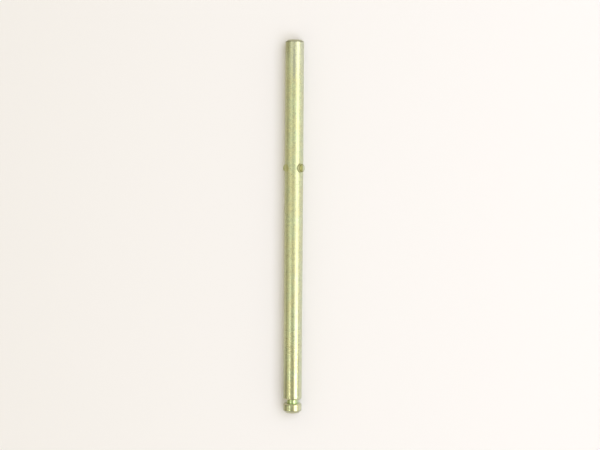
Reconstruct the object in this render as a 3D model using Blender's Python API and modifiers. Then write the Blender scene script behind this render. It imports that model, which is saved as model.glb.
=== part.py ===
"""Pivot pin: a turned steel shaft with a clip groove near one end and a short cross pin pressed through it.

The pin lies along Y with its plain end towards +Y, the way it comes to rest on the ground at Z = 0.
The shaft can roll until the cross pin's lower end touches down, so that is how far it is rolled here.
Sizes are in metres, written as millimetres times MM.
"""

from math import asin, atan2, cos, hypot, pi, radians

import bmesh
import bpy
from mathutils import Matrix

MM = 0.001

# Shaft, drawn round bar
SHAFT_DIAMETER = 7.94 * MM
SHAFT_LENGTH = 160.6 * MM
END_CHAMFER_LENGTH = 0.8 * MM
END_CHAMFER_DEPTH = 1.2 * MM

# Groove for a retaining clip, turned near the end towards -Y
GROOVE_DIAMETER = 4.76 * MM
GROOVE_FLOOR_WIDTH = 1.4 * MM
GROOVE_LIP_CHAMFER = 0.4 * MM
GROOVE_TO_GROOVED_END = 4.4 * MM

# Cross pin, a solid dowel
CROSS_PIN_DIAMETER = 3.57 * MM
CROSS_PIN_LENGTH = 10.1 * MM
CROSS_PIN_CHAMFER = 0.4 * MM
CROSS_PIN_TO_PLAIN_END = 54.8 * MM

# Space left all round the dowel in its hole, where the real one is a press fit
DOWEL_CLEARANCE = 0.05 * MM
# How much of the rod that cuts the hole sticks out of the shaft at each side
CUTTER_OVERHANG = 2.0 * MM

# How finely round surfaces are cut into facets. The shaft's are wide enough for it to lie still on one of them.
SHAFT_SEGMENTS = 24
CROSS_PIN_SEGMENTS = 64
WELD_DISTANCE = 0.001 * MM
SHARP_ANGLE = radians(20)

# Yellow passivated zinc, a deeper olive on the ground dowel
SHAFT_COLOUR = (0.60, 0.60, 0.33)
SHAFT_ROUGHNESS = 0.32
CROSS_PIN_COLOUR = (0.56, 0.56, 0.24)
CROSS_PIN_ROUGHNESS = 0.36


def new_collection(name):
    collection = bpy.data.collections.new(name)
    bpy.context.scene.collection.children.link(collection)
    return collection


def metal(name, colour, roughness):
    """A plated steel material."""
    material = bpy.data.materials.new(name)
    material.use_nodes = True
    shader = material.node_tree.nodes["Principled BSDF"]
    shader.inputs["Base Color"].default_value = (*colour, 1.0)
    shader.inputs["Metallic"].default_value = 1.0
    shader.inputs["Roughness"].default_value = roughness
    material.diffuse_color = (*colour, 1.0)
    return material


def corner_radius(radius, segments):
    """How far out a facet's corners lie when the middle of the facet touches the true circle."""
    return radius / cos(pi / segments)


def turned(name, outline, segments, collection):
    """A solid of revolution about Z. The outline is (radius, height) from the top centre to the bottom centre."""
    mesh = bpy.data.meshes.new(name)
    shape = bmesh.new()
    points = [shape.verts.new((corner_radius(radius, segments), 0.0, height)) for radius, height in outline]
    for upper, lower in zip(points, points[1:]):
        shape.edges.new((upper, lower))
    shape.to_mesh(mesh)
    shape.free()
    solid = bpy.data.objects.new(name, mesh)
    collection.objects.link(solid)
    spin = solid.modifiers.new("turned", "SCREW")
    spin.axis = "Z"
    spin.angle = 2 * pi
    spin.steps = spin.render_steps = segments
    spin.use_merge_vertices = True
    spin.merge_threshold = WELD_DISTANCE
    return solid


def apply_modifiers(solid):
    """Keeps the object's finished mesh, smooth round its curves and crisp along its edges."""
    graph = bpy.context.evaluated_depsgraph_get()
    mesh = bpy.data.meshes.new_from_object(solid.evaluated_get(graph))
    solid.modifiers.clear()
    solid.data = mesh
    mesh.shade_smooth()
    mesh.set_sharp_from_angle(angle=SHARP_ANGLE)


def shaft_outline():
    """Half of the shaft's section, from the plain end at the top to the grooved end."""
    radius = SHAFT_DIAMETER / 2
    face_radius = radius - END_CHAMFER_DEPTH
    floor_radius = GROOVE_DIAMETER / 2
    top, bottom = SHAFT_LENGTH / 2, -SHAFT_LENGTH / 2
    lower_wall = bottom + GROOVE_TO_GROOVED_END
    upper_wall = lower_wall + GROOVE_FLOOR_WIDTH
    lip_radius = radius - GROOVE_LIP_CHAMFER
    return [
        (0.0, top),
        (face_radius, top),
        (radius, top - END_CHAMFER_LENGTH),
        (radius, upper_wall + GROOVE_LIP_CHAMFER),
        (lip_radius, upper_wall),
        (floor_radius, upper_wall),
        (floor_radius, lower_wall),
        (lip_radius, lower_wall),
        (radius, lower_wall - GROOVE_LIP_CHAMFER),
        (radius, bottom + END_CHAMFER_LENGTH),
        (face_radius, bottom),
        (0.0, bottom),
    ]


def cross_pin_outline():
    """Half of the dowel's section: a plain cylinder with both rims broken."""
    radius, half = CROSS_PIN_DIAMETER / 2, CROSS_PIN_LENGTH / 2
    return [
        (0.0, half),
        (radius - CROSS_PIN_CHAMFER, half),
        (radius, half - CROSS_PIN_CHAMFER),
        (radius, CROSS_PIN_CHAMFER - half),
        (radius - CROSS_PIN_CHAMFER, -half),
        (0.0, -half),
    ]


def rest_tilt():
    """The cross pin's angle to the ground at which a corner of its lower end touches down.

    A corner lies at (out, across) from the shaft's axis, along the dowel and square to it. Tilted, it hangs
    out * sin(tilt) + across * cos(tilt) below the axis, and the first corner to reach the ground stops the roll.
    """
    axis_height = SHAFT_DIAMETER / 2
    tilts = []
    for radius, out in cross_pin_outline()[1:3]:
        across = corner_radius(radius, CROSS_PIN_SEGMENTS)
        reach = hypot(out, across)
        tilts.append(asin(min(1.0, axis_height / reach)) - atan2(across, out))
    return min(tilts)


def lying_shaft():
    """Turns the shaft's own +Z to the world's +Y, with the middle of a facet downwards."""
    lift = Matrix.Translation((0.0, 0.0, SHAFT_DIAMETER / 2))
    half_facet = Matrix.Rotation(pi / SHAFT_SEGMENTS, 4, "Z")
    return lift @ Matrix.Rotation(-pi / 2, 4, "X") @ half_facet


def lying_cross_pin():
    """Turns the dowel's own +Z to the world's +X, raised by the tilt, at its place along the shaft."""
    along = SHAFT_LENGTH / 2 - CROSS_PIN_TO_PLAIN_END
    place = Matrix.Translation((0.0, along, SHAFT_DIAMETER / 2))
    return place @ Matrix.Rotation(pi / 2 - rest_tilt(), 4, "Y")


def cross_hole_cutter(collection):
    """A rod a little thicker than the dowel and longer than the shaft is thick."""
    mesh = bpy.data.meshes.new("cross_hole_cutter")
    shape = bmesh.new()
    radius = corner_radius(CROSS_PIN_DIAMETER / 2 + DOWEL_CLEARANCE, CROSS_PIN_SEGMENTS)
    bmesh.ops.create_cone(
        shape,
        cap_ends=True,
        segments=CROSS_PIN_SEGMENTS,
        radius1=radius,
        radius2=radius,
        depth=SHAFT_DIAMETER + 2 * CUTTER_OVERHANG,
    )
    shape.to_mesh(mesh)
    shape.free()
    cutter = bpy.data.objects.new("cross_hole_cutter", mesh)
    cutter.hide_render = True
    cutter.display_type = "WIRE"
    collection.objects.link(cutter)
    return cutter


def build():
    for old in list(bpy.data.objects):
        bpy.data.objects.remove(old)
    parts = new_collection("pivot_pin")
    cutters = new_collection("cutters")

    shaft = turned("pivot_shaft", shaft_outline(), SHAFT_SEGMENTS, parts)
    shaft.matrix_world = lying_shaft()
    shaft.data.materials.append(metal("yellow_zinc", SHAFT_COLOUR, SHAFT_ROUGHNESS))

    cross_pin = turned("cross_pin", cross_pin_outline(), CROSS_PIN_SEGMENTS, parts)
    cross_pin.matrix_world = lying_cross_pin()
    cross_pin.data.materials.append(metal("yellow_zinc_dowel", CROSS_PIN_COLOUR, CROSS_PIN_ROUGHNESS))

    cutter = cross_hole_cutter(cutters)
    cutter.matrix_world = lying_cross_pin()
    hole = shaft.modifiers.new("cross hole", "BOOLEAN")
    hole.operation = "DIFFERENCE"
    hole.solver = "EXACT"
    hole.object = cutter

    bpy.context.view_layer.update()
    for solid in (shaft, cross_pin):
        apply_modifiers(solid)


build()
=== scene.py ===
"""Pivot pin, yellow zinc plated: a drawn steel shaft with a clip groove, and a dowel pressed through it.

Lengths are in metres, written as millimetres times MM. The shaft lies along Y with its plain end towards +Y.
"""

from math import asin, atan2, hypot, pi, radians

import bmesh
import bpy
from mathutils import Euler, Matrix, Vector, noise


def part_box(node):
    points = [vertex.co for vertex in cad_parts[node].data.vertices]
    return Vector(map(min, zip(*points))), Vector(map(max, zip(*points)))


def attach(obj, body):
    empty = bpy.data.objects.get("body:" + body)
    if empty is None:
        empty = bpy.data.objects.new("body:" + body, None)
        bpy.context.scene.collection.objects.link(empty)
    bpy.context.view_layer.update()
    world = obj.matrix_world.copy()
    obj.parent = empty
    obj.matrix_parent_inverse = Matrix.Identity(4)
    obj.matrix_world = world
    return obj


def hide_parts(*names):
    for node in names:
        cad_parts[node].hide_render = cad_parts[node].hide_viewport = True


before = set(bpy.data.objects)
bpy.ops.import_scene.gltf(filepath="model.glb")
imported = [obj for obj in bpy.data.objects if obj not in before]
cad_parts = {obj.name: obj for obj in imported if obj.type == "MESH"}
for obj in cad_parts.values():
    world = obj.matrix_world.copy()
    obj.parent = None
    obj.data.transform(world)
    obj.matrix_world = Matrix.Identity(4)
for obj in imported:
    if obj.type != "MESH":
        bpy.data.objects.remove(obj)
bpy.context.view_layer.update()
MM = 0.001


# The dowel is a short hardened steel pin, ground all over, with chamfered and very slightly crowned ends. It
# is pressed through the shaft until it stands out equally on both sides. Its plated film is a deeper olive
# than the shaft's.

DOWEL_LOW, DOWEL_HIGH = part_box("cross_pin")
SHAFT_LOW, SHAFT_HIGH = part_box("pivot_shaft")
AXIS_HEIGHT = (SHAFT_LOW.z + SHAFT_HIGH.z) / 2
DOWEL_MIDDLE = Vector((0.0, (DOWEL_LOW.y + DOWEL_HIGH.y) / 2, AXIS_HEIGHT))
DOWEL_RADIUS = 3.57 / 2 * MM
DOWEL_HALF_LENGTH = 5.05 * MM
DOWEL_CHAMFER = 0.4 * MM
DOWEL_CROWN = 0.05 * MM
DOWEL_CROWN_STEPS = 5
DOWEL_BROKEN_EDGE = 0.12 * MM
DOWEL_STEPS = 128
DOWEL_CLOUDS = 1.2 * MM
DOWEL_GRAIN = 0.12 * MM
DOWEL_RINGS = 0.15 * MM
DOWEL_RELIEF = 0.006 * MM
DOWEL_ROUGHNESS = 0.34

MERGE_DISTANCE = 0.0001 * MM
CRISP_ANGLE = radians(20)
SMOOTH_ANGLE = radians(40)


def turn(outline, steps):
    """A bmesh of the outline, (radius, height) from the top centre to the bottom centre, spun about Z."""
    shape = bmesh.new()
    corners = [shape.verts.new((radius, 0.0, height)) for radius, height in outline]
    for upper, lower in zip(corners, corners[1:]):
        shape.edges.new((upper, lower))
    bmesh.ops.spin(
        shape,
        geom=shape.verts[:] + shape.edges[:],
        cent=(0.0, 0.0, 0.0),
        axis=(0.0, 0.0, 1.0),
        angle=2 * pi,
        steps=steps,
        use_merge=True,
    )
    bmesh.ops.remove_doubles(shape, verts=shape.verts, dist=MERGE_DISTANCE)
    bmesh.ops.recalc_face_normals(shape, faces=shape.faces)
    return shape


def crisp_edges(shape):
    """The edges that run round a turned shape where its outline turns sharply."""
    return [edge for edge in shape.edges if edge.calc_face_angle(0.0) > CRISP_ANGLE]


def round_edges(shape, edges, width):
    """Rounds the given edges over a width on each side."""
    bmesh.ops.bevel(
        shape,
        geom=edges,
        offset=width,
        offset_type="OFFSET",
        segments=4,
        profile=0.5,
        affect="EDGES",
        material=-1,
    )


def finished_object(name, shape, place):
    """A smooth shaded object whose place is in its mesh."""
    mesh = bpy.data.meshes.new(name)
    shape.to_mesh(mesh)
    shape.free()
    mesh.transform(place)
    mesh.shade_smooth()
    mesh.set_sharp_from_angle(angle=SMOOTH_ANGLE)
    piece = bpy.data.objects.new(name, mesh)
    bpy.context.scene.collection.objects.link(piece)
    return piece


class Field:
    """A number that varies from place to place. Sums, differences and products add their Math nodes."""

    def __init__(self, nodes, socket):
        self.nodes = nodes
        self.socket = socket

    def math(self, operation, *others):
        return self.nodes.field("ShaderNodeMath", {"operation": operation}, dict(enumerate((self, *others))))

    def __add__(self, other):
        return self.math("ADD", other)

    def __mul__(self, other):
        return self.math("MULTIPLY", other)

    def __sub__(self, other):
        return self.math("SUBTRACT", other)

    def __rsub__(self, other):
        return self * -1.0 + other

    __radd__ = __add__
    __rmul__ = __mul__

    def ramp(self, start, end, low=0.0, high=1.0):
        """The field taken from start..end to low..high along an S curve, and held beyond them."""
        settings = {"interpolation_type": "SMOOTHSTEP"}
        inputs = {"Value": self, "From Min": start, "From Max": end, "To Min": low, "To Max": high}
        return self.nodes.field("ShaderNodeMapRange", settings, inputs)

    def near(self, place, reach, fade):
        """1 where the field is within reach of a value, fading to 0 beyond it."""
        return (self - place).math("ABSOLUTE").ramp(reach + fade, reach)


class Nodes:
    """A node tree with a short way to add nodes to it."""

    def __init__(self, tree):
        self.tree = tree

    def node(self, kind, settings=None, inputs=None):
        """A node with its settings made first, then the values or links of its sockets."""
        node = self.tree.nodes.new(kind)
        for name, value in (settings or {}).items():
            setattr(node, name, value)
        for name, value in (inputs or {}).items():
            value = getattr(value, "socket", value)
            if isinstance(value, bpy.types.NodeSocket):
                self.tree.links.new(value, node.inputs[name])
            else:
                node.inputs[name].default_value = value
        return node

    def field(self, kind, settings=None, inputs=None):
        """The first output of a new node, ready for sums."""
        return Field(self, self.node(kind, settings, inputs).outputs[0])

    def axes(self, vector):
        """A vector's three coordinates as fields."""
        split = self.node("ShaderNodeSeparateXYZ", {}, {0: vector})
        return [Field(self, socket) for socket in split.outputs]


class Finish(Nodes):
    """A plated metal: a Principled material with the patterns that it is made of."""

    # A Mix node's sockets when it mixes colours.
    MIX_FACTOR = 0
    MIX_UNDER = 6
    MIX_OVER = 7
    MIX_RESULT = 2

    # How much of a speck's radius is dark right through, and how sharply the chosen cells are cut off.
    SPECK_CORE = 0.4
    CHOICE_EDGE = 0.001

    def __init__(self, name, middle, turn_by=(0.0, 0.0, 0.0)):
        self.material = bpy.data.materials.new(name)
        self.material.use_nodes = True
        super().__init__(self.material.node_tree)
        self.shader = self.tree.nodes["Principled BSDF"]
        self.shader.inputs["Metallic"].default_value = 1.0
        self.object_place = self.node("ShaderNodeTexCoord").outputs["Object"]
        self.place = self.seen_from(middle, turn_by)
        self.x, self.y, self.z = self.axes(self.place)

    def seen_from(self, middle, turn_by):
        """The surface's coordinates in a frame of its own, with its middle and its turn given."""
        inputs = {"Vector": self.object_place, "Location": middle, "Rotation": turn_by}
        return self.node("ShaderNodeMapping", {"vector_type": "TEXTURE"}, inputs).outputs[0]

    def scaled(self, grain):
        """The coordinates divided by a size along each axis."""
        scale = tuple(1 / size for size in grain)
        return self.node("ShaderNodeMapping", {}, {"Vector": self.place, "Scale": scale}).outputs[0]

    def noise(self, grain, detail=2.0, roughness=0.5):
        """Soft blotches of the given size, about 0.5 on average."""
        inputs = {"Vector": self.scaled(grain), "Scale": 1.0, "Detail": detail, "Roughness": roughness}
        return self.field("ShaderNodeTexNoise", {}, inputs)

    def specks(self, spacing, size, share):
        """Scattered round specks, 1 in the middle of each, in the given share of the cells."""
        cells = self.node("ShaderNodeTexVoronoi", {}, {"Vector": self.scaled(spacing), "Scale": 1.0})
        chosen = self.axes(cells.outputs["Color"])[0].ramp(share + self.CHOICE_EDGE, share)
        return Field(self, cells.outputs["Distance"]).ramp(size, self.SPECK_CORE * size) * chosen

    def blend(self, factor, under, over):
        """Two colours mixed by a field."""
        inputs = {self.MIX_FACTOR: factor, self.MIX_UNDER: under, self.MIX_OVER: over}
        return self.node("ShaderNodeMix", {"data_type": "RGBA"}, inputs).outputs[self.MIX_RESULT]

    def shade(self, colour, strength):
        """A colour made darker or lighter by a field that is about 1."""
        inputs = {0: colour, "Scale": strength}
        return self.node("ShaderNodeVectorMath", {"operation": "SCALE"}, inputs).outputs[0]

    def finish(self, colour, roughness, height, depth):
        """Connects the finished patterns. The height is worth this many metres from 0 to 1."""
        self.tree.links.new(colour, self.shader.inputs["Base Color"])
        self.tree.links.new(roughness.socket, self.shader.inputs["Roughness"])
        bump = self.node("ShaderNodeBump", {}, {"Strength": 1.0, "Distance": depth, "Height": height})
        self.tree.links.new(bump.outputs[0], self.shader.inputs["Normal"])
        return self.material


def dowel_outline():
    """Half of the dowel's section, its ends crowned by a shallow arc."""
    rim_radius = DOWEL_RADIUS - DOWEL_CHAMFER
    end = []
    for step in range(DOWEL_CROWN_STEPS + 1):
        share = step / DOWEL_CROWN_STEPS
        end.append((rim_radius * share, DOWEL_HALF_LENGTH - DOWEL_CROWN * share**2))
    end.append((DOWEL_RADIUS, DOWEL_HALF_LENGTH - DOWEL_CHAMFER - DOWEL_CROWN))
    return end + [(radius, -height) for radius, height in reversed(end)]


def rest_tilt():
    """The dowel's angle to the floor, with the chamfer of its low end just touching down."""
    rim = (DOWEL_RADIUS - DOWEL_CHAMFER, DOWEL_HALF_LENGTH)
    shoulder = (DOWEL_RADIUS, DOWEL_HALF_LENGTH - DOWEL_CHAMFER)
    corners = (rim, shoulder)
    return min(asin(AXIS_HEIGHT / hypot(across, out)) - atan2(across, out) for across, out in corners)


# The turned shape's own +Z becomes the world's +X, raised by the tilt.
press_through = Matrix.Translation(DOWEL_MIDDLE) @ Matrix.Rotation(pi / 2 - rest_tilt(), 4, "Y")
dowel_shape = turn(dowel_outline(), DOWEL_STEPS)
round_edges(dowel_shape, crisp_edges(dowel_shape), DOWEL_BROKEN_EDGE)
dowel = finished_object("dowel", dowel_shape, press_through)


def ground_zinc():
    """Passivated zinc over a ground dowel: olive on its ends, its side painted pale as a highlight, its low
    half painted dull as shade.
    """
    metal = Finish("ground_zinc", DOWEL_MIDDLE, press_through.to_euler())
    across = (metal.x * metal.x + metal.y * metal.y).math("SQRT")
    out = metal.z.math("ABSOLUTE")
    clouds = metal.noise((DOWEL_CLOUDS, DOWEL_CLOUDS, DOWEL_CLOUDS))
    grain = metal.noise((DOWEL_GRAIN, DOWEL_GRAIN, DOWEL_GRAIN))
    ring_inputs = {"W": across, "Scale": 1 / DOWEL_RINGS}
    rings = metal.field("ShaderNodeTexNoise", {"noise_dimensions": "1D"}, ring_inputs)

    deep_olive = (0.39, 0.41, 0.14, 1.0)
    straw = (0.45, 0.45, 0.19, 1.0)
    pale = (0.82, 0.83, 0.56, 1.0)
    reflection_grey = (0.66, 0.70, 0.57, 1.0)
    dull = (0.48, 0.49, 0.24, 1.0)
    spot_dark = (0.20, 0.195, 0.12, 1.0)
    shoulder = DOWEL_HALF_LENGTH - DOWEL_CHAMFER
    on_end = out.ramp(DOWEL_HALF_LENGTH - 0.2 * MM, DOWEL_HALF_LENGTH - 0.1 * MM)
    on_side = out.ramp(shoulder, shoulder - 0.15 * MM)
    colour = metal.blend(clouds.ramp(0.35, 0.65), deep_olive, straw)
    # The side is painted pale: a painted highlight.
    colour = metal.blend(on_side, colour, pale)

    # On the high end, the half that lies lower is painted pale grey inside the rim: a painted reflection of
    # the lit floor.
    inside_rim = across.ramp(DOWEL_RADIUS - 0.25 * MM, DOWEL_RADIUS - 0.45 * MM)
    reflecting_half = metal.x.ramp(-0.3 * MM, 0.4 * MM) * inside_rim
    colour = metal.blend(reflecting_half * grain.ramp(0.2, 0.6, low=0.6, high=1.0), colour, reflection_grey)

    # Two dark spots sit at opposite edges of the end face, and the rim round it is a little darker.
    end_spots = metal.y.math("ABSOLUTE").ramp(1.15 * MM, 1.45 * MM)
    end_spots = end_spots * metal.x.near(0.1 * MM, reach=0.4 * MM, fade=0.3 * MM)
    colour = metal.blend(end_spots * on_end * 0.7, colour, spot_dark)
    # The rim's darkening is painted shade that dims the highlight on it.
    on_rim = across.ramp(DOWEL_RADIUS - 0.45 * MM, DOWEL_RADIUS - 0.35 * MM) * (1.0 - on_side)
    colour = metal.shade(colour, 1.0 - on_rim * 0.25)

    # The low half is painted dull: painted shade on the end that points down towards the shadowed floor.
    shaded_low_half = metal.z.ramp(0.0, -1.0 * MM)
    colour = metal.blend(shaded_low_half, colour, dull)

    roughness = DOWEL_ROUGHNESS + on_side * 0.16 + (grain - 0.5) * 0.2
    height = grain * 0.5 + rings * on_end
    return metal.finish(colour, roughness, height, DOWEL_RELIEF)


dowel.data.materials.append(ground_zinc())
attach(dowel, "root")
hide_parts("cross_pin")


# The shaft is a length of cold drawn round bar. Its ends are faced and chamfered, and a groove for a
# retaining clip is turned near one end. It is drilled across for the dowel, zinc plated and passivated.

SHAFT_RADIUS = SHAFT_HIGH.x
PLAIN_END = SHAFT_HIGH.y
GROOVED_END = SHAFT_LOW.y
END_FACE_RADIUS = SHAFT_RADIUS - 1.2 * MM
PLAIN_CHAMFER_LENGTH = 0.85 * MM
GROOVED_CHAMFER_LENGTH = 1.1 * MM
PLAIN_SHOULDER = PLAIN_END - PLAIN_CHAMFER_LENGTH
GROOVED_SHOULDER = GROOVED_END + GROOVED_CHAMFER_LENGTH
GROOVE_FLOOR_RADIUS = 2.38 * MM
GROOVE_FILLET = 0.2 * MM
LOWER_WALL = GROOVED_END + 4.15 * MM
UPPER_WALL = GROOVED_END + 5.8 * MM
LIP_RADIUS = SHAFT_RADIUS - 0.4 * MM
LOWER_LIP_LENGTH = 0.5 * MM
UPPER_LIP_LENGTH = 0.6 * MM
LOWER_LIP = LOWER_WALL - LOWER_LIP_LENGTH
UPPER_LIP = UPPER_WALL + UPPER_LIP_LENGTH
SHAFT_STEPS = 288
BROKEN_EDGE = 0.08 * MM
NICK_DEPTH = 0.05 * MM
NICK_SIZE = 0.9 * MM
NICK_START = 0.1
HOLE_SLACK = 0.02 * MM


def shaft_outline():
    """Half of the shaft's section, from the plain end down to the grooved end."""
    return [
        (0.0, PLAIN_END),
        (END_FACE_RADIUS, PLAIN_END),
        (SHAFT_RADIUS, PLAIN_SHOULDER),
        (SHAFT_RADIUS, UPPER_LIP),
        (LIP_RADIUS, UPPER_WALL),
        (GROOVE_FLOOR_RADIUS, UPPER_WALL),
        (GROOVE_FLOOR_RADIUS, LOWER_WALL),
        (LIP_RADIUS, LOWER_WALL),
        (SHAFT_RADIUS, LOWER_LIP),
        (SHAFT_RADIUS, GROOVED_SHOULDER),
        (END_FACE_RADIUS, GROOVED_END),
        (0.0, GROOVED_END),
    ]


def groove_corners(shape):
    """The crisp edges round both sides of the groove's floor."""
    reach = GROOVE_FLOOR_RADIUS + 0.01 * MM
    return [
        edge
        for edge in crisp_edges(shape)
        if all(hypot(vertex.co.x, vertex.co.y) < reach for vertex in edge.verts)
    ]


def nick_rims(shape):
    """Knocks the shaft's outer rims in a little here and there, as handling does."""
    rims = [(radius, height) for radius, height in shaft_outline() if radius >= END_FACE_RADIUS]
    for vertex in shape.verts:
        across = hypot(vertex.co.x, vertex.co.y)
        for radius, height in rims:
            if hypot(across - radius, vertex.co.z - height) > 2 * BROKEN_EDGE:
                continue
            knock = max(0.0, noise.noise(vertex.co / NICK_SIZE) - NICK_START)
            shrink = 1 - NICK_DEPTH * knock / across
            vertex.co.x *= shrink
            vertex.co.y *= shrink


def drill(piece, radius, place):
    """Cuts a round hole through the piece, along the place's own Z."""
    bit = bmesh.new()
    bmesh.ops.create_cone(
        bit,
        cap_ends=True,
        segments=DOWEL_STEPS,
        radius1=radius,
        radius2=radius,
        depth=4 * SHAFT_RADIUS,
    )
    cutter = finished_object("drill", bit, place)
    cut = piece.modifiers.new("cut", "BOOLEAN")
    cut.object = cutter
    cut.solver = "EXACT"
    graph = bpy.context.evaluated_depsgraph_get()
    drilled = bpy.data.meshes.new_from_object(piece.evaluated_get(graph))
    piece.modifiers.clear()
    piece.data = drilled
    bpy.data.objects.remove(cutter)
    drilled.set_sharp_from_angle(angle=SMOOTH_ANGLE)


# The turned shape's own +Z becomes the world's +Y.
onto_axis = Matrix.Translation((0.0, 0.0, AXIS_HEIGHT))
lay_down = onto_axis @ Matrix.Rotation(-pi / 2, 4, "X")
shaft_shape = turn(shaft_outline(), SHAFT_STEPS)
round_edges(shaft_shape, groove_corners(shaft_shape), GROOVE_FILLET)
round_edges(shaft_shape, crisp_edges(shaft_shape), BROKEN_EDGE)
nick_rims(shaft_shape)
shaft = finished_object("shaft", shaft_shape, lay_down)
drill(shaft, DOWEL_RADIUS + HOLE_SLACK, press_through)

# The film's colours: on the round surface, on the turned parts, and in its stains, with colours for painted
# shade and painted reflections among them.
GREEN_FILM = (0.590, 0.673, 0.470, 1.0)
STRAW_FILM = (0.640, 0.650, 0.420, 1.0)
OLIVE_FILM_AND_SHADE = (0.570, 0.560, 0.290, 1.0)
PALE_FILM_AND_LIGHT = (0.640, 0.675, 0.550, 1.0)
GROOVE_GREEN = (0.570, 0.715, 0.400, 1.0)
GROOVE_SHADE = (0.330, 0.380, 0.130, 1.0)
LIP_BOARD_REFLECTION = (0.530, 0.480, 0.310, 1.0)
CHAMFER_GREY = (0.480, 0.475, 0.330, 1.0)
DOWEL_SHADE_COLOUR = (0.440, 0.435, 0.180, 1.0)
SLATE = (0.430, 0.460, 0.425, 1.0)
SOOT_AND_SHADE = (0.200, 0.195, 0.130, 1.0)

# The sizes of the film's patterns in X, in Y along the shaft, and in Z. A pit's size is a share of the
# spacing, and PIT_SHARE is how many of the places for a pit hold one.
DRAW_LINES = 0.16 * MM, 5 * MM, 0.16 * MM
LONG_BANDS = 1.1 * MM, 22 * MM, 1.1 * MM
CLOUDS = 3 * MM, 5 * MM, 3 * MM
PATCHES = 1.0 * MM, 1.3 * MM, 1.0 * MM
MOTTLE = 0.45 * MM, 0.5 * MM, 0.45 * MM
GRAIN = 0.2 * MM, 0.25 * MM, 0.2 * MM
PIT_SPACING = 3.0 * MM, 5.0 * MM, 3.0 * MM
PIT_SIZE = 0.07
PIT_SHARE = 0.35
SHAFT_RELIEF = 0.009 * MM
SHAFT_ROUGHNESS = 0.44
CHAMFER_FADE = 0.1 * MM

# Where the film, its painted shade and its painted reflections change, from where to where: along the shaft
# from its middle, and round it in radians from straight up, with the +X side positive.
TOWARDS_GROOVE = 10 * MM, -60 * MM
NEAR_GROOVE = -45 * MM, -72 * MM
FADED_STRETCH = 58 * MM, 76 * MM
LAST_OF_PLAIN_END = 70 * MM, 77 * MM
SHADED_OLIVE_SIDE = 0.1, -1.0
LIT_PALE_SIDE = 0.7, 1.1
SHADED_LEFT_FLANK = -0.43, -0.62
FADED_SIDE = -0.42, -0.22
DARK_EDGE_OF_PLAIN_END = -0.22, -0.36
LIP_REFLECTION_SIDE = 0.1, -0.5
GROOVE_SHADED_SIDE = -0.1, -0.6
LOWER_LIP_SHADED_SIDE = 0.1, -0.3

# The marks, and the painted shade by the dowel: their angle round the shaft in degrees from straight up,
# their place along it from its middle, and half their width and length.
SHADE_BY_DOWEL = -50, DOWEL_MIDDLE.y, 1.65 * MM, 1.65 * MM
DULL_STREAK = 7, 70.0 * MM, 0.6 * MM, 7.0 * MM
PITTED_LINE = -5.5, -59.0 * MM, 0.16 * MM, 15.0 * MM
LONG_MARK = -66, -31.0 * MM, 0.35 * MM, 3.5 * MM
LEFT_END_MARK = -45, PLAIN_SHOULDER - 0.1 * MM, 1.9 * MM, 0.3 * MM
RIGHT_END_MARK = 55, PLAIN_SHOULDER - 0.1 * MM, 1.2 * MM, 0.25 * MM
SPOT_HALF_SIZE = 0.22 * MM, 0.26 * MM
SPOTS = (
    (-13.4, 25.3 * MM),
    (-5.5, 22.8 * MM),
    (29.1, 18.5 * MM),
    (22.6, 7.3 * MM),
    (16.3, 48.7 * MM),
    (41.0, 64.0 * MM),
    (-30.0, -12.0 * MM),
)
STAIN_EDGE = 1.2, 0.8


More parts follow.
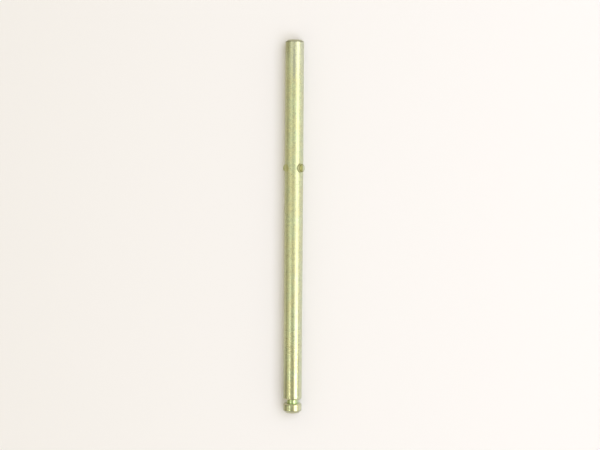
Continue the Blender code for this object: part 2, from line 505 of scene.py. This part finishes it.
class DrawnZinc(Finish):
    """Passivated zinc over drawn bar: faint lines along the bar, and a mottled film of drifting colour."""

    def __init__(self):
        super().__init__("drawn_zinc", Vector((0.0, 0.0, AXIS_HEIGHT)))
        self.across = (self.x * self.x + self.z * self.z).math("SQRT")
        self.around = self.x.math("ARCTAN2", self.z)
        self.draw_lines = self.noise(DRAW_LINES, detail=3.0)
        self.long_bands = self.noise(LONG_BANDS)
        self.clouds = self.noise(CLOUDS, detail=3.0)
        self.patches = self.noise(PATCHES, roughness=0.6)
        self.mottle = self.noise(MOTTLE, roughness=0.6)
        self.grain = self.noise(GRAIN)
        self.pits = self.specks(PIT_SPACING, PIT_SIZE, PIT_SHARE)
        self.towards_groove = self.y.ramp(*TOWARDS_GROOVE)
        self.near_groove = self.y.ramp(*NEAR_GROOVE)
        on_plain_chamfer = self.y.ramp(PLAIN_SHOULDER, PLAIN_SHOULDER + CHAMFER_FADE)
        on_grooved_chamfer = self.y.ramp(GROOVED_SHOULDER, GROOVED_SHOULDER - CHAMFER_FADE)
        self.on_chamfers = on_plain_chamfer + on_grooved_chamfer
        self.seam = self.dowel_seam_shade()

    def dowel_seam_shade(self):
        """1 in the seam where the dowel enters the shaft, for painted shade that is wider on its upper side.
        """
        hole_x, hole_y = self.axes(self.seen_from(DOWEL_MIDDLE, press_through.to_euler()))[:2]
        from_dowel = (hole_x * hole_x + hole_y * hole_y).math("SQRT")
        wide = from_dowel.ramp(DOWEL_RADIUS + 0.42 * MM, DOWEL_RADIUS + 0.24 * MM)
        wide = wide * hole_x.ramp(0.2 * MM, -1.0 * MM)
        narrow = from_dowel.ramp(DOWEL_RADIUS + 0.16 * MM, DOWEL_RADIUS + 0.04 * MM)
        return wide * 0.6 + narrow * 0.4

    def below_surface(self, start, end):
        """0 down to the first depth below the shaft's round surface, and 1 from the second."""
        return self.across.ramp(SHAFT_RADIUS - start, SHAFT_RADIUS - end)

    def film(self):
        """The film on the round surface: green to straw, mottled all over, with painted shade on its left
        side and a painted reflection of the lit floor on its right.
        """
        drift = (self.clouds * 0.75 + self.long_bands * 0.25).ramp(0.38, 0.62)
        colour = self.blend(drift, GREEN_FILM, STRAW_FILM)
        # The left side is painted olive: painted shade.
        colour = self.blend(self.around.ramp(*SHADED_OLIVE_SIDE, high=0.7), colour, OLIVE_FILM_AND_SHADE)
        # The right side is painted pale: a painted reflection of the lit floor.
        colour = self.blend(self.around.ramp(*LIT_PALE_SIDE, high=0.4), colour, PALE_FILM_AND_LIGHT)
        faded = self.y.ramp(*FADED_STRETCH, high=0.8) * self.around.ramp(*FADED_SIDE)
        colour = self.blend(faded, colour, PALE_FILM_AND_LIGHT)
        colour = self.blend(self.mottle.ramp(0.4, 0.7, high=0.45), colour, OLIVE_FILM_AND_SHADE)
        unevenness = 0.1 + self.mottle * 0.9 + self.patches * 0.4 + self.grain * 0.5
        colour = self.shade(colour, unevenness)
        # The left flank is darkened further, more near the groove: painted shade.
        colour = self.shade(colour, 1.0 - self.around.ramp(*SHADED_LEFT_FLANK) * (self.near_groove * 0.20 + 0.15))
        dark_edge = self.y.ramp(*LAST_OF_PLAIN_END) * self.around.ramp(*DARK_EDGE_OF_PLAIN_END, high=0.16)
        return self.shade(colour, 1.0 - dark_edge)

    def turned_parts(self, colour):
        """Adds the dull chamfers, brown painted reflection on the lips, the green groove with painted shade
        on its left, painted shade along the lower lip, and dark lines along the shoulders.
        """
        groove_middle = (LOWER_LIP + UPPER_LIP) / 2
        groove_reach = (UPPER_LIP - LOWER_LIP) / 2
        on_lips = self.below_surface(0.02 * MM, 0.10 * MM)
        on_lips = on_lips * self.y.near(groove_middle, reach=groove_reach, fade=0.1 * MM)
        in_groove = self.below_surface(0.50 * MM, 0.80 * MM)
        in_groove = in_groove * self.y.near(groove_middle, reach=1.0 * MM, fade=0.3 * MM)
        colour = self.blend(self.on_chamfers * 0.8, colour, CHAMFER_GREY)
        # The lips are painted brown, more on the left: a painted reflection of the warm board.
        colour = self.blend(on_lips * self.around.ramp(*LIP_REFLECTION_SIDE, low=0.2, high=0.9), colour, LIP_BOARD_REFLECTION)
        colour = self.blend(in_groove, colour, GROOVE_GREEN)
        # The groove's left side is painted dark olive: painted shade.
        colour = self.blend(in_groove * self.around.ramp(*GROOVE_SHADED_SIDE, high=0.9), colour, GROOVE_SHADE)

        shoulders = self.y.near(PLAIN_SHOULDER, reach=0.05 * MM, fade=0.12 * MM)
        shoulders = shoulders + self.y.near(GROOVED_SHOULDER, reach=0.05 * MM, fade=0.12 * MM)
        # A dark band along the lower lip, stronger on the left, is painted shade.
        lower_lip_shade = self.y.near(LOWER_LIP, reach=0.10 * MM, fade=0.12 * MM)
        lower_lip_shade = lower_lip_shade * self.around.ramp(*LOWER_LIP_SHADED_SIDE, low=0.05, high=0.5)
        shoulder_dark_lines = shoulders * self.mottle.ramp(0.35, 0.6, low=0.2, high=0.8)
        return self.blend(shoulder_dark_lines + lower_lip_shade, colour, SOOT_AND_SHADE)

    def stain(self, angle, place, half_width, half_length, ragged):
        """1 inside a stain at an angle round the shaft and a place along it, its edge broken by a field."""
        sideways = (self.around - radians(angle)) * (SHAFT_RADIUS / half_width)
        lengthways = (self.y - place) * (1 / half_length)
        from_middle = (sideways * sideways + lengthways * lengthways).math("SQRT")
        return (from_middle + ragged).ramp(*STAIN_EDGE)

    def marks(self, colour):
        """Adds the painted shade by the dowel, the dull streak, the painted shade in the seam, the dark marks
        and the pits.
        """
        ragged = (self.mottle - 0.5) * 2.0
        dark_marks = self.stain(*LONG_MARK, ragged)
        dark_marks = dark_marks + self.stain(*LEFT_END_MARK, ragged) * 1.5
        dark_marks = dark_marks + self.stain(*RIGHT_END_MARK, ragged)
        for spot in SPOTS:
            dark_marks = dark_marks + self.stain(*spot, *SPOT_HALF_SIZE, ragged)
        dark_marks = dark_marks + self.stain(*PITTED_LINE, ragged) * self.grain.ramp(0.4, 0.6)
        # The patch round the dowel's low end is painted shade.
        colour = self.blend(self.stain(*SHADE_BY_DOWEL, ragged * 0.3) * 0.9, colour, DOWEL_SHADE_COLOUR)
        colour = self.blend(self.stain(*DULL_STREAK, ragged) * 0.5, colour, SLATE)
        # The seam is painted dark: painted shade where the dowel meets the shaft.
        colour = self.blend(self.seam * 0.9, colour, SOOT_AND_SHADE)
        colour = self.blend(dark_marks.ramp(0.0, 1.0, high=0.45), colour, SOOT_AND_SHADE)
        return self.blend(self.pits * 0.7, colour, SOOT_AND_SHADE)

    def plated(self):
        """The finished material: smoother towards the groove, rougher on the chamfers and in the seam."""
        colour = self.marks(self.turned_parts(self.film()))
        roughness = SHAFT_ROUGHNESS - self.towards_groove * 0.16 - self.near_groove * 0.09
        roughness = roughness + (self.draw_lines - 0.5) * 0.08 + (self.mottle - 0.5) * 0.22
        roughness = roughness + self.on_chamfers * 0.15 + self.seam * 0.2
        height = self.draw_lines * 0.4 + self.grain * 0.3 + self.mottle * 0.4 - self.pits
        return self.finish(colour, roughness, height, SHAFT_RELIEF)


shaft.data.materials.append(DrawnZinc().plated())
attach(shaft, "root")
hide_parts("pivot_shaft")


# The floor is a plain pale board with a matt face, much wider than the pin. The pin lies on it as it comes
# to rest, and the floor isn't a part of it.

FLOOR_REACH = 3.0
FLOOR_COLOUR = (0.87, 0.83, 0.785, 1.0)
FLOOR_ROUGHNESS = 0.9


def pale_floor():
    """A matt material without gloss."""
    material = bpy.data.materials.new("pale_floor")
    material.use_nodes = True
    shader = material.node_tree.nodes["Principled BSDF"]
    shader.inputs["Base Color"].default_value = FLOOR_COLOUR
    shader.inputs["Roughness"].default_value = FLOOR_ROUGHNESS
    shader.inputs["Specular IOR Level"].default_value = 0.0
    return material


floor_shape = bmesh.new()
bmesh.ops.create_grid(floor_shape, x_segments=1, y_segments=1, size=FLOOR_REACH)
floor = finished_object("floor", floor_shape, Matrix.Identity(4))
floor.data.materials.append(pale_floor())


# The studio has a wide soft light for the floor, which the metal doesn't mirror, and two softboxes that show
# only on the metal, one on the right and one on the left. The room round them is dimmer at the far left and
# in a narrow strip overhead.

LIGHT_LENGTH = 1.2
LIGHT_DISTANCE = 0.9
ROOM_COLOUR = (1.0, 0.96, 0.77, 1.0)


def soft_light(name, lean, width, power, colour):
    """A long rectangular light that faces the pin, leaning by some degrees from straight above towards +X."""
    data = bpy.data.lights.new(name, "AREA")
    data.shape = "RECTANGLE"
    data.size = width
    data.size_y = LIGHT_LENGTH
    data.energy = power
    data.color = colour
    light = bpy.data.objects.new(name, data)
    swing = Matrix.Rotation(radians(lean), 4, "Y") @ Matrix.Translation((0.0, 0.0, LIGHT_DISTANCE))
    light.matrix_world = onto_axis @ swing
    bpy.context.scene.collection.objects.link(light)
    return light


floor_light = soft_light("floor_light", lean=28.0, width=0.7, power=5.2, colour=(1.0, 1.07, 1.40))
floor_light.visible_glossy = False
right_softbox = soft_light("right_softbox", lean=52.4, width=0.62, power=4.4, colour=(1.0, 0.965, 0.88))
right_softbox.visible_diffuse = False
left_softbox = soft_light("left_softbox", lean=-28.0, width=0.07, power=0.75, colour=(1.0, 0.96, 0.78))
left_softbox.visible_diffuse = False

world = bpy.data.worlds.new("room")
world.use_nodes = True
room = Nodes(world.node_tree)
background = world.node_tree.nodes["Background"]

# Sideways and lengthways say how far a direction points to +X and to +Y, from -1 to 1. The overhead strip
# grows dimmer towards the grooved end.
sideways, lengthways = room.axes(room.node("ShaderNodeTexCoord").outputs["Generated"])[:2]
overhead_strip = sideways.near(0.07, reach=0.06, fade=0.14)
overhead_dip = overhead_strip * lengthways.ramp(-0.05, -0.18, low=0.11, high=0.37)
brightness = sideways.ramp(-1.0, -0.86, low=0.45, high=0.74) - overhead_dip
room.tree.links.new(brightness.socket, background.inputs["Strength"])
background.inputs["Color"].default_value = ROOM_COLOUR
bpy.context.scene.world = world
bpy.context.scene.view_settings.view_transform = "Standard"


# The camera looks almost straight down on the pin, from a little over its plain half. It is swung round the
# shaft's axis, because the real pin looks rolled a little further than this one comes to rest.

CAMERA_PLACE = Vector((-5.53, 36.25, 691.8)) * MM
CAMERA_TURN = Euler((radians(-2.94), radians(-0.67), radians(0.40)))
CAMERA_SWING = radians(10.0)
CAMERA_LENS = 96.0
SENSOR_WIDTH = 36.0

camera_data = bpy.data.cameras.new("camera")
camera_data.lens = CAMERA_LENS
camera_data.sensor_width = SENSOR_WIDTH
camera = bpy.data.objects.new("camera", camera_data)
bpy.context.scene.collection.objects.link(camera)
swing = onto_axis @ Matrix.Rotation(CAMERA_SWING, 4, "Y") @ onto_axis.inverted()
camera.matrix_world = swing @ Matrix.LocRotScale(CAMERA_PLACE, CAMERA_TURN, None)
bpy.context.scene.camera = camera
